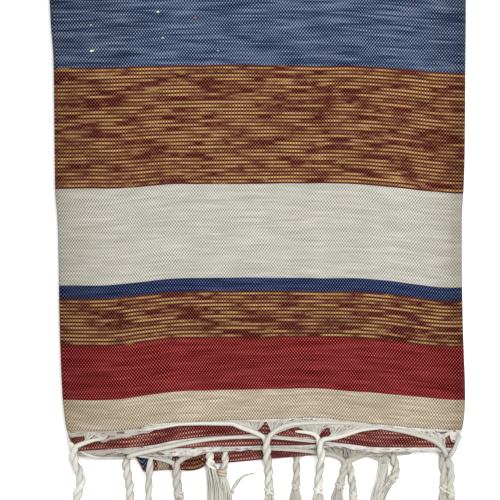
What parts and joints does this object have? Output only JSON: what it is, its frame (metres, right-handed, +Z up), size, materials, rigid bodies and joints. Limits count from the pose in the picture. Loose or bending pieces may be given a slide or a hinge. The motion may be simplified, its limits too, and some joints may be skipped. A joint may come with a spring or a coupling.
{
  "type": "hammam towel",
  "caption": "Flat-woven striped cotton hammam towel, folded lengthwise and doubled, lying flat with twisted, knotted fringe at both hems.",
  "frame": {"origin": "middle of the footprint, on the surface that the towel lies on", "axes": "+Z up from the surface, +Y from the fringe towards the doubled end, +X to the right seen from above with the fringe nearest"},
  "size_m": [0.2586, 1.0739, 0.0146],
  "materials": {
    "cloth": "matt plain-woven cotton in wide weft bands: slate blue, ochre, off-white, navy, ochre, dark red, beige",
    "white_yarn": "matt two-ply white cotton cords with loose ends",
    "ecru_yarn": "matt two-ply off-white cotton cords with loose ends"
  },
  "bodies": {
    "root": {"cloth": "cloth", "fringe_beige_end": "white_yarn", "fringe_red_end": "ecru_yarn"}
  },
  "joints": []
}
